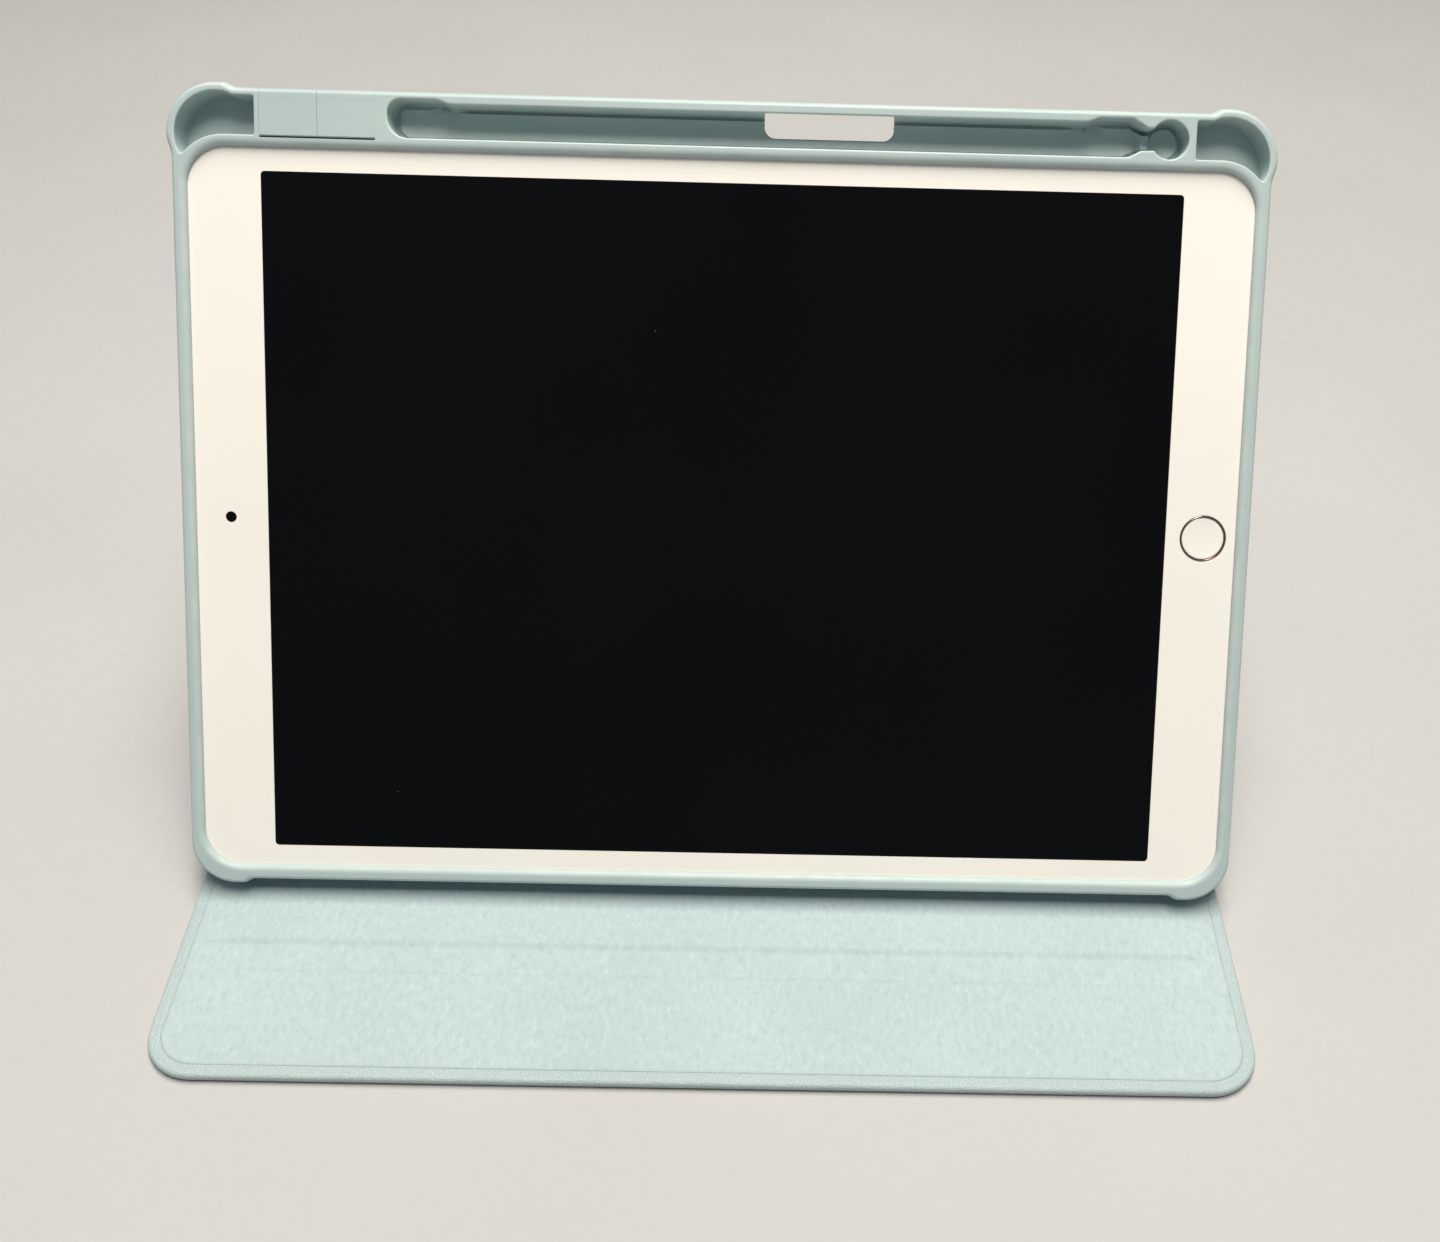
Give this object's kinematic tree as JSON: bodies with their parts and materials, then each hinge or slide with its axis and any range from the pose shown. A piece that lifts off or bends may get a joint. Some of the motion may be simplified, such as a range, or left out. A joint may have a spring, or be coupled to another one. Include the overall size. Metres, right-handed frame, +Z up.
{
  "type": "tablet folio stand case",
  "caption": "Mint folio stand case with a soft tray, a stylus trough and a grooved fold-flat cover, standing open and holding a slab tablet with a dark screen.",
  "frame": {"origin": "centre of the footprint, on the table under the front cover", "axes": "+X the viewer's right along the hinges, -Y towards the viewer, +Z up"},
  "size_m": [0.2568, 0.2012, 0.1656],
  "materials": {
    "mint_skin": "fine-grained mint synthetic leather, satin",
    "mint_microfibre": "short-napped mint microfibre, matte",
    "mint_tpu": "soft moulded mint TPU, silky matte",
    "grey_board": "pressed fibre board",
    "magnet": "plated magnet",
    "adhesive": "clear adhesive film",
    "anodised_aluminium": "fine blasted anodised aluminium",
    "white_glass": "glossy glass over white paint",
    "black_glass": "glossy black glass, display off",
    "ring_metal": "polished dark metal ring",
    "battery_wrap": "black foil pouch",
    "circuit_board": "green laminate",
    "speaker_plastic": "moulded black plastic"
  },
  "bodies": {
    "front_cover": {"front_cover_skin": "mint_skin", "front_cover_board": "grey_board", "front_cover_lining": "mint_microfibre", "wake_magnet": "magnet", "closure_magnet": "magnet"},
    "spine": {"spine_skin": "mint_skin", "spine_board": "grey_board", "spine_lining": "mint_microfibre", "front_hinge_strip": "mint_skin", "rear_hinge_strip": "mint_skin"},
    "leg": {"leg_skin": "mint_skin", "leg_board": "grey_board", "leg_lining": "mint_microfibre", "crease_strip": "mint_skin"},
    "tray": {"tray_shell": "mint_tpu", "tray_lip": "mint_tpu", "back_panel_skin": "mint_skin", "back_panel_board": "grey_board", "adhesive_pad": "adhesive"},
    "tablet": {"tablet_housing": "anodised_aluminium", "front_glass": "white_glass", "display_panel": "black_glass", "home_button_ring": "ring_metal", "front_camera": "black_glass", "rear_camera_ring": "anodised_aluminium", "rear_camera_lens": "black_glass", "battery_left": "battery_wrap", "battery_right": "battery_wrap", "logic_board": "circuit_board", "port_board": "circuit_board", "speaker_left_lower": "speaker_plastic", "speaker_right_lower": "speaker_plastic", "speaker_right_upper": "speaker_plastic", "charge_port": "anodised_aluminium"},
    "home_button": {"home_button": "white_glass"},
    "volume_up_cover": {"volume_up_cover": "mint_tpu"},
    "volume_down_cover": {"volume_down_cover": "mint_tpu"},
    "power_cover": {"power_cover": "mint_tpu"},
    "volume_up_key": {"volume_up_key": "anodised_aluminium"},
    "volume_down_key": {"volume_down_key": "anodised_aluminium"},
    "power_key": {"power_key": "anodised_aluminium"}
  },
  "joints": [
    {"name": "cover_fold", "type": "hinge", "parent": "front_cover", "child": "spine", "pos_m": [0, 0.08737, 0.00125], "axis": [-1, 0, 0], "range_deg": [0, 100], "deforming": ["front_hinge_strip"]},
    {"name": "stand_unfold", "type": "hinge", "parent": "spine", "child": "leg", "pos_m": [0, 0.09938, 0.00125], "axis": [-1, 0, 0], "range_deg": [0, 124.71], "deforming": ["rear_hinge_strip"]},
    {"name": "crease_unfold", "type": "hinge", "parent": "leg", "child": "tray", "pos_m": [0, 0.02718, 0.10549], "axis": [-1, 0, 0], "range_deg": [-68.9, 0.5], "deforming": ["crease_strip"]},
    {"name": "tablet_lift", "type": "slide", "parent": "tray", "child": "tablet", "axis": [0, -0.832, 0.5548], "range_m": [0, 0.03], "deforming": ["tray_lip"]},
    {"name": "home_button_press", "type": "slide", "parent": "tablet", "child": "home_button", "axis": [0, 0.832, -0.5548], "range_m": [0, 0.0003], "stiffness_N_per_m": 600},
    {"name": "volume_up_press", "type": "slide", "parent": "tray", "child": "volume_up_cover", "axis": [0, -0.5548, -0.832], "range_m": [0, 0.0004], "stiffness_N_per_m": 900},
    {"name": "volume_down_press", "type": "slide", "parent": "tray", "child": "volume_down_cover", "axis": [0, -0.5548, -0.832], "range_m": [0, 0.0004], "stiffness_N_per_m": 900},
    {"name": "power_press", "type": "slide", "parent": "tray", "child": "power_cover", "axis": [1, 0, 0], "range_m": [0, 0.0004], "stiffness_N_per_m": 900},
    {"name": "volume_up_key_press", "type": "slide", "parent": "tablet", "child": "volume_up_key", "axis": [0, -0.5548, -0.832], "range_m": [-0.00005, 0.00045]},
    {"name": "volume_down_key_press", "type": "slide", "parent": "tablet", "child": "volume_down_key", "axis": [0, -0.5548, -0.832], "range_m": [-0.00005, 0.00045]},
    {"name": "power_key_press", "type": "slide", "parent": "tablet", "child": "power_key", "axis": [1, 0, 0], "range_m": [-0.00005, 0.00045]}
  ],
  "couplings": [
    {"joint": "crease_unfold", "follows": "stand_unfold", "ratio": -0.5485},
    {"joint": "volume_up_key_press", "follows": "volume_up_press", "ratio": 1},
    {"joint": "volume_down_key_press", "follows": "volume_down_press", "ratio": 1},
    {"joint": "power_key_press", "follows": "power_press", "ratio": 1}
  ]
}
